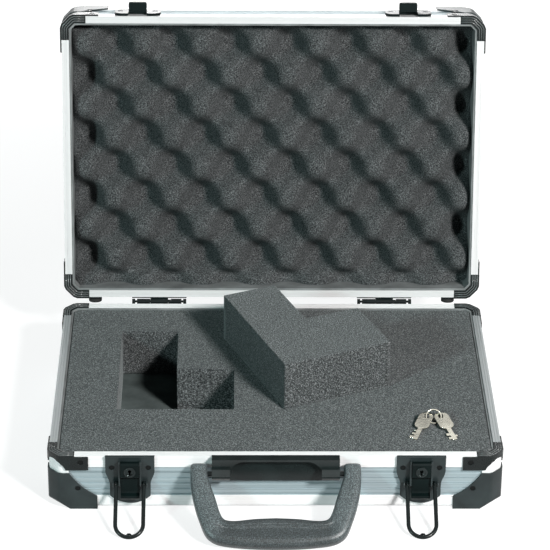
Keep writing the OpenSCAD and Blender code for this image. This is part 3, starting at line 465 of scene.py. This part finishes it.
# The cut foam. Its pocket is an L of whole cells, whose heart is given in shares of the bar and the toe.
# slit is the dark gap over the pad, all round the pocket
foamCut = dict(cell=14.5 * mm, barCells=3, lengthCells=8, toeCells=4, widthCells=6, left=-117 * mm,
               front=-46.5 * mm, heart=(0.55, 0.6), edge=0.5 * mm, outerEdge=1.2 * mm, slit=0.9 * mm,
               chamfer=3.4 * mm, step=math.radians(1.2), swell=0.15 * mm,
               wallRows=12, edgeRows=5, topRows=44, outerRows=8, underRows=6)
padSheet = dict(edge=0.2 * mm, step=math.radians(4))
blockCut = dict(corner=(7.2 * mm, -48 * mm), turn=math.radians(23.1), gap=0.3 * mm, edge=0.7 * mm, keep=0.16)
slabRows = dict(under=14, edge=5, wall=14, top=22, pole=0.04)


# The L from its corner at 0, drawn in by a gap
def pocketOutline(c, gap):
    bar, long, toe, wide = (c["cell"] * c[k] for k in ("barCells", "lengthCells", "toeCells", "widthCells"))
    return np.array([(gap, gap), (wide - gap, gap), (wide - gap, toe - gap), (bar - gap, toe - gap),
                     (bar - gap, long - gap), (gap, long - gap)])


# The point from which rays reach every side of the L
def pocketHeart(c):
    return c["cell"] * np.array([c["barCells"] * c["heart"][0], c["toeCells"] * c["heart"][1]])


# The slab's outline, drawn in by some distance, with 45 degree corners
def slabOutline(half, chamfer, inset):
    a, b = half[0] - inset, half[1] - inset
    c = chamfer - inset * (2 - math.sqrt(2))
    return np.array([(a - c, -b), (a, c - b), (a, b - c), (a - c, b),
                     (c - a, b), (-a, b - c), (-a, c - b), (c - a, -b)])


# Mean of crossing sine waves, each with its length in x and in y, in mm, and its start
foamWaves = [(7.3, 11.9, 0), (13.7, -8.1, 1.3), (4.9, 23.0, 2.1)]


def uneven(points, height):
    x, y = points[..., 0] / mm, points[..., 1] / mm
    return height * sum(np.sin(x / a + y / b + start) for a, b, start in foamWaves) / len(foamWaves)


# Points that lie on the top face sink by the unevenness
def sinkTop(points, top, swell):
    onTop = points[..., 2] > top - tiny["height"]
    points[..., 2] -= np.where(onTop, np.abs(uneven(points, swell)), 0)


# A quarter circle as (drawn in, below the face) from the wall to the face
def roundEdge(radius, count):
    turn = np.linspace(0, math.pi / 2, count)
    return np.stack([radius * (1 - np.cos(turn)), radius * (1 - np.sin(turn))], axis=1)


# Half of a box's width and depth, and its middle
def halfAndMiddle(low, high):
    return (high - low)[:2] / 2, (high + low)[:2] / 2


# Rings round the pocket: up its wall, over the top, down the outer wall and back underneath. Each ring is
# a blend of the pocket's outline and the slab's
def makeBaseFoam(c):
    low, high = (np.array(v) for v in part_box("base_foam"))
    half, middle = halfAndMiddle(low, high)
    bottom, top = low[2], high[2]
    pocketAt = np.array([c["left"], c["front"]])
    centre = pocketAt + pocketHeart(c)
    slab = slabOutline(half, c["chamfer"], 0) + middle
    pocket = pocketOutline(c, 0) + pocketAt
    angles = rayAngles(centre, [pocket, slab], c["step"])
    inHits, outHits = rayHits(pocket, centre, angles), rayHits(slab, centre, angles)

    def row(share, inset, outset, z):
        inner = onSides(pocketOutline(c, -inset) + pocketAt, inHits)
        outer = onSides(slabOutline(half, c["chamfer"], outset) + middle, outHits)
        flat = inner * (1 - share) + outer * share
        return np.column_stack([flat, np.full(len(flat), z)])

    inEdge, outEdge = (roundEdge(c[k], c["edgeRows"]) for k in ("edge", "outerEdge"))
    rows = [row(0, 0, 0, z) for z in np.linspace(bottom + c["slit"], top - c["edge"], c["wallRows"])[:-1]]
    rows += [row(0, d, 0, top - drop) for d, drop in inEdge]
    rows += [row(t, c["edge"], c["outerEdge"], top) for t in np.linspace(0, 1, c["topRows"])[1:-1]]
    rows += [row(1, 0, d, top - drop) for d, drop in outEdge[::-1]]
    rows += [row(1, 0, 0, z) for z in np.linspace(top - c["outerEdge"], bottom, c["outerRows"])[1:]]
    rows += [row(t, 0, 0, bottom) for t in np.linspace(1, 0, c["underRows"])[1:-1]]
    points = np.stack(rows)
    sinkTop(points, top, c["swell"])
    faces = ringFaces(len(rows), len(angles), wraps=True)[:, ::-1]
    piece = makeObject("base_foam_cut", points.reshape(-1, 3), faces.tolist(), "baseFoam", "base")
    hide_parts("base_foam")


# A closed slab over an outline: rings from the middle of the bottom, up the wall and to the middle of the
# top, with a fan at each pole
def makeSlab(name, outlineAt, centre, low, high, edge, step, finish, place=None):
    r = slabRows
    angles = rayAngles(centre, [outlineAt(0)], step)
    hits = rayHits(outlineAt(0), centre, angles)

    def row(share, inset, z):
        flat = centre + share * (onSides(outlineAt(inset), hits) - centre)
        return np.column_stack([flat, np.full(len(flat), z)])

    rounded = roundEdge(edge, r["edge"])
    rows = [row(t, edge, low) for t in np.linspace(r["pole"], 1, r["under"])[:-1]]
    rows += [row(1, d, low + drop) for d, drop in rounded[::-1]]
    rows += [row(1, 0, z) for z in np.linspace(low + edge, high - edge, r["wall"])[1:-1]]
    rows += [row(1, d, high - drop) for d, drop in rounded]
    rows += [row(t, edge, high) for t in np.linspace(1, r["pole"], r["top"])[1:]]
    columns, total = len(angles), len(rows) * len(angles)
    ring = np.arange(columns)
    beside = np.roll(ring, -1)
    last = total - columns
    bottomFan = np.column_stack([beside, ring, np.full(columns, total)])
    topFan = np.column_stack([ring + last, beside + last, np.full(columns, total + 1)])
    faces = ringFaces(len(rows), columns).tolist() + bottomFan.tolist() + topFan.tolist()
    poles = np.array([(*centre, low), (*centre, high)])
    points = np.concatenate([np.stack(rows).reshape(-1, 3), poles])
    if place is not None:
        points = place(points)
    return makeObject(name, points, faces, finish, "base")


# A thin slab over the base foam's outline
def makeFloorPad(c, p):
    low, high = (np.array(v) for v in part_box("floor_pad"))
    half, middle = halfAndMiddle(low, high)
    piece = makeSlab("floor_pad_sheet", lambda d: slabOutline(half, c["chamfer"], d) + middle, middle,
                     low[2], high[2], p["edge"], p["step"], "padFoam")
    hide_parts("floor_pad")


# The pocket's L, a little smaller, turned about its corner and laid on the base foam
def makeBlock(c, b):
    low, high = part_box("foam_block")
    cos, sin = math.cos(b["turn"]), math.sin(b["turn"])

    def placed(points):
        x, y, z = points.T
        turned = np.column_stack([x * cos - y * sin + b["corner"][0], x * sin + y * cos + b["corner"][1], z])
        sinkTop(turned, high.z, c["swell"])
        return turned

    piece = makeSlab("loose_foam_block", lambda d: pocketOutline(c, b["gap"] + d), pocketHeart(c),
                     low.z, high.z, b["edge"], c["step"], "blockFoam", placed)
    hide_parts("foam_block")
    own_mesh(piece)


makeBaseFoam(foamCut)
makeFloorPad(foamCut, padSheet)
makeBlock(foamCut, blockCut)
print("cut foam ready")


# The lid's frame: rim at z = 0 and outside below it, as the base has them
halfGap = hingeZ - rimZ  # half of the gap between the rims


# Points of the lid are mirrored in z onto the base, then turned open about the hinges by cosine and sine
def toLid(points):
    x, y, z = points[..., 0], points[..., 1] - hingeY, halfGap - points[..., 2]
    cos, sin = math.cos(openTurn), math.sin(openTurn)
    return np.stack([x, y * cos + z * sin + hingeY, z * cos - y * sin + hingeZ], axis=-1)


# Wavy foam. margin is the calm strip near the hinges
waveFoam = dict(half=(156.3 * mm, 105.3 * mm), chamfer=3.4 * mm, back=-35.6 * mm, peak=-6 * mm,
                height=25 * mm, waveX=45.75 * mm, waveY=49.25 * mm, peakX=12.5 * mm, peakY=34 * mm,
                steep=1.35, broad=0.15, calm=0.4, level=0.3, margin=11 * mm, across=250, deep=170, crease=60)


# The product of two cosines, left to right and front to rear, made steeper at its middle and flatter at
# its ends, then raised a little at its middle so that peaks are broader than valleys
def waveAt(w, x, y):
    wave = np.cos(2 * math.pi * (x - w["peakX"]) / w["waveX"])
    wave = wave * np.cos(2 * math.pi * (y - w["peakY"]) / w["waveY"])
    wave = w["steep"] * wave - (w["steep"] - 1) * wave * np.abs(wave) ** 3
    wave = wave + w["broad"] * (1 - wave ** 2)
    free = ramp01(w["half"][1] - y, 0, w["margin"])
    return wave * free + (w["level"] + w["calm"] * wave) * (1 - free)


# A grid over the slab, its depth below the peaks given by the wave, with a skirt down to a flat back
def makeLidFoam(w):
    share = np.linspace(-1, 1, w["across"])
    y = np.linspace(-w["half"][1], w["half"][1], w["deep"])
    reach = np.minimum(w["half"][0], sum(w["half"]) - w["chamfer"] - np.abs(y))  # shorter at the cut corners
    gridX = reach[:, None] * share
    gridY = np.broadcast_to(y[:, None], gridX.shape)
    gridZ = w["peak"] - w["height"] / 2 * (1 - waveAt(w, gridX, gridY))
    top = np.stack([gridX, gridY, gridZ], axis=-1)
    number = np.arange(top.shape[0] * top.shape[1]).reshape(top.shape[:2])
    corners = [number[:-1, :-1], number[:-1, 1:], number[1:, 1:], number[1:, :-1]]
    quads = np.stack(corners, axis=-1).reshape(-1, 4)
    border = np.concatenate([number[0, :-1], number[:-1, -1], number[-1, :0:-1], number[:0:-1, 0]])
    points = top.reshape(-1, 3)
    skirt = points[border].copy()
    skirt[:, 2] = w["back"]
    ring = len(points) + np.arange(len(border))
    walls = np.stack([border, ring, np.roll(ring, -1), np.roll(border, -1)], axis=1)
    faces = quads.tolist() + walls.tolist() + [ring[::-1].tolist()]
    faces = [face[::-1] for face in faces]  # the lid's frame is a mirror image, so faces are turned round
    points = toLid(np.concatenate([points, skirt]))
    piece = makeObject("wavy_lid_foam", points, faces, "lidFoam", "lid")
    piece.data.set_sharp_from_angle(angle=math.radians(w["crease"]))
    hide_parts("lid_foam")


makeLidFoam(waveFoam)
print("lid foam ready")


# The handle. halfway lists half of the U in mm from the pivot: outer x, outer length, inner x, inner length
# The grip's and the arms' tones are painted shade on the grip and painted sheen on the arms
handleShape = dict(turn=32.69, thick=12 * mm, pivot=joints["handle_swing"]["pos_m"], stations=105, around=64,
                   boxy=0.62, top=7.6 * mm, groove=0.34, grooveFrom=(-0.52, -0.34), grooveTo=0.5,
                   gripHalf=(36, 46), gripPaintedShade=0.68, armPaintedSheen=1.3,
                   halfway=[(58.9, -7.4, 51.6, -7.4), (60.5, -6.9, 49.9, -6.9), (61.3, -5.6, 49.1, -5.6),
                            (61.4, -2, 49.0, -2), (61.4, 2, 49.0, 2), (60.9, 12, 46.6, 10),
                            (58.0, 27, 43.3, 20), (54.5, 38, 41.0, 28), (50.8, 47.3, 39.3, 32.6),
                            (46.6, 52.0, 37.6, 35.6), (40.5, 54.9, 34.6, 37.3), (30, 56.7, 28, 37.6),
                            (15, 58.0, 15, 36.1), (0, 58.4, 0, 35.4)])


# Points on a smooth curve through the given ones: a cubic between each two, that takes its slopes from
# their neighbours
def smoothThrough(points, count):
    ends = np.concatenate([2 * points[:1] - points[1:2], points, 2 * points[-1:] - points[-2:-1]])
    spot = np.linspace(0, len(points) - 1, count)
    k = np.minimum(spot.astype(int), len(points) - 2)
    t = (spot - k)[:, None]
    a, b, c, d = (ends[k + i] for i in range(4))
    return 0.5 * (2 * b + (c - a) * t + (2 * a - 5 * b + 4 * c - d) * t ** 2
                  + (3 * b - a - 3 * c + d) * t ** 3)


# A cosine and a sine, each raised to a power below 1, make a boxy oval. It is carried along the U between
# its outer and inner edges, rounded off at the top of the arms, and leaned about the pivot
def makeHandle(h):
    half = smoothThrough(np.array(h["halfway"], float) * mm, h["stations"])
    whole = np.concatenate([half, (half * (-1, 1, -1, 1))[-2::-1]])
    outer, inner = whole[:, :2], whole[:, 2:]
    middle, reach = (outer + inner) / 2, (outer - inner) / 2
    thin = np.sqrt(np.clip(1 - np.minimum(middle[:, 1] / h["top"], 0) ** 4, 0, 1))
    turn = np.linspace(0, 2 * math.pi, h["around"], endpoint=False)
    side = np.sign(np.cos(turn)) * np.abs(np.cos(turn)) ** h["boxy"]
    rise = np.sign(np.sin(turn)) * np.abs(np.sin(turn)) ** h["boxy"]
    x = middle[:, None, 0] + reach[:, None, 0] * side
    far = middle[:, None, 1] + reach[:, None, 1] * side
    # a groove along the top of the grip, steep on its inner side, that runs out towards the arms
    steep, flat = ramp01(side, *h["grooveFrom"]), 1 - ramp01(side, h["grooveFrom"][1], h["grooveTo"])
    onGrip = 1 - ramp01(np.abs(middle[:, :1]) / mm, *h["gripHalf"])
    up = h["thick"] / 2 * thin[:, None] * (rise - h["groove"] * onGrip * steep * flat * (rise > 0))
    lean = math.radians(h["turn"])
    y = -far * math.cos(lean) - up * math.sin(lean)
    z = -far * math.sin(lean) + up * math.cos(lean)
    points = np.stack([x, y, z], axis=-1) + np.array(h["pivot"])
    count = h["around"]
    last = (len(points) - 1) * count
    faces = ringFaces(len(points), count).tolist()
    faces += [list(range(count))[::-1], list(range(last, last + count))]
    piece = makeObject("carry_handle", points.reshape(-1, 3), faces, "gripPlastic", "handle")
    tone = h["armPaintedSheen"] + (h["gripPaintedShade"] - h["armPaintedSheen"]) * onGrip  # painted shade darkens the grip and painted sheen lightens the arms
    spread = piece.data.attributes.new("tone", "FLOAT", "POINT")
    spread.data.foreach_set("value", np.broadcast_to(tone, points.shape[:2]).ravel())
    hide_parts("handle")


makeHandle(handleShape)
print("handle ready")


# Ribs on the rim corners, one for each inset. Their light colour is a painted highlight along the corner
# pieces' ridges
cornerRibs = dict(half=(165 * mm, 114 * mm), insets=(1.7 * mm, 3.4 * mm, 5.1 * mm), radius=0.36 * mm,
                  sunk=0.26 * mm, reach=19.4 * mm, chamfer=8.5 * mm, soft=1.8 * mm, softLoss=0.203,
                  around=10)


# The case's outline round one corner, drawn in by the inset: two straight ends and a chamfer whose own
# corners are cut once more
def ribPath(r, inset):
    w, d = (half - inset for half in r["half"])
    c = r["chamfer"] - inset * (2 - math.sqrt(2))
    t = r["soft"] - inset * r["softLoss"]
    k = t / math.sqrt(2)
    end = r["reach"] - inset
    return np.array([(w - end, d), (w - c - t, d), (w - c + k, d - k),
                     (w - k, d - c + k), (w, d - c - t), (w, d - end)])


# A small round section carried along each path, then mirrored to the four corners of base and lid
def makeRibs(r):
    turn = np.linspace(0, 2 * math.pi, r["around"], endpoint=False)
    rows, faces = [], []
    for inset in r["insets"]:
        path = ribPath(r, inset)
        way = np.gradient(path, axis=0)
        out = np.column_stack([-way[:, 1], way[:, 0]]) / np.linalg.norm(way, axis=1)[:, None]
        flat = path[:, None, :] + r["radius"] * np.cos(turn)[None, :, None] * out[:, None, :]
        high = np.broadcast_to(r["radius"] * np.sin(turn) - r["sunk"], flat.shape[:2])
        tube = np.concatenate([flat, high[..., None]], axis=-1).reshape(-1, 3)
        start = sum(len(row) for row in rows)
        last = start + len(tube) - r["around"]
        faces += (ringFaces(len(path), r["around"]) + start).tolist()
        faces += [list(range(start, start + r["around"]))[::-1], list(range(last, last + r["around"]))]
        rows.append(tube)
    one = np.concatenate(rows)
    signs = [(1, 1), (-1, 1), (-1, -1), (1, -1)]
    points = np.concatenate([one * (x, y, 1) for x, y in signs])
    onBase = [[k + i * len(one) for k in (face if x * y > 0 else face[::-1])]
              for i, (x, y) in enumerate(signs) for face in faces]
    onLid = [face[::-1] for face in onBase]
    makeObject("base_corner_ribs", points + (0, 0, rimZ), onBase, "ribPlastic", "base")
    makeObject("lid_corner_ribs", toLid(points), onLid, "ribPlastic", "lid")


makeRibs(cornerRibs)
print("ribs ready")


# Hard pieces keep their solids. Their triangles are merged, flat faces joined, edges rounded and the
# shading made smooth
hardEdges = dict(merge=0.002 * mm, flat=0.4, segments=3, bevel=32, weight=90)


def softenGroup(e):
    group = bpy.data.node_groups.new("mergedAndSmooth", "GeometryNodeTree")
    for way in ("INPUT", "OUTPUT"):
        group.interface.new_socket("Geometry", in_out=way, socket_type="NodeSocketGeometry")
    kinds = ("NodeGroupInput", "GeometryNodeMergeByDistance", "GeometryNodeRemoveAttribute",
             "GeometryNodeSetShadeSmooth", "NodeGroupOutput")
    chain = [group.nodes.new(kind) for kind in kinds]
    chain[1].inputs["Distance"].default_value = e["merge"]
    chain[2].inputs["Name"].default_value = "custom_normal"
    for one, two in zip(chain, chain[1:]):
        group.links.new(one.outputs[0], two.inputs[0])
    return group


softened = softenGroup(hardEdges)


def finishNode(name, finish, edge, e):
    node = nodes[name]
    for slot in node.material_slots:
        slot.link = "OBJECT"
        slot.material = finishes[finish]
    merge = node.modifiers.new("merged", "NODES")
    merge.node_group = softened
    flat = node.modifiers.new("flat", "DECIMATE")
    flat.decimate_type = "DISSOLVE"
    flat.angle_limit = math.radians(e["flat"])
    if edge:
        bevel = node.modifiers.new("edge", "BEVEL")
        bevel.width = edge
        bevel.segments = e["segments"]
        bevel.limit_method = "ANGLE"
        bevel.angle_limit = math.radians(e["bevel"])
        bevel.harden_normals = False
        bevel.use_clamp_overlap = True
    weighted = node.modifiers.new("weighted", "WEIGHTED_NORMAL")
    weighted.weight = e["weight"]


# Which finish and edge rounding in mm each node gets, by the first row whose words are all in its name
hardware = [("lid_top_panel", "topFilm", 0.12), ("lid_ panel", "lidBoardFilm", 0.12),
            ("panel", "boardFilm", 0.12), ("edges", "edgeRail", 0.25), ("lid_long_rims", "lidRailX", 0.2),
            ("lid_short_rims", "lidRailY", 0.2), ("long_rims", "railX", 0.2),
            ("short_rims", "sideRail", 0.2), ("corner_posts", "edgeRail", 0.2),
            ("rim_corner", "cornerPlastic", 0.3),
            ("guard", "guardPlastic", 0.4), ("rivets", "rivetSteel", 0.2), ("lining", "liningSheet", 0.15),
            ("feet", "footRubber", 0.0), ("latch_plate", "plateMetal", 0.3), ("lever", "leverMetal", 0.3),
            ("lock_plug", "plugSteel", 0.15), ("bail", "blackMetal", 0.0), ("catch", "leverMetal", 0.3),
            ("bracket", "bracketMetal", 0.6), ("hinge_leaves", "blackMetal", 0.12),
            ("pins", "blackMetal", 0.1), ("key_ring", "nickelPlate", 0.0), ("keys", "nickelPlate", 0.12)]


def finishHardware():
    for name in nodes:
        if nodes[name].hide_render:
            continue
        finish, edge = next(row[1:] for row in hardware if all(word in name for word in row[0].split()))
        finishNode(name, finish, edge * mm, hardEdges)


finishHardware()
print("hardware ready")
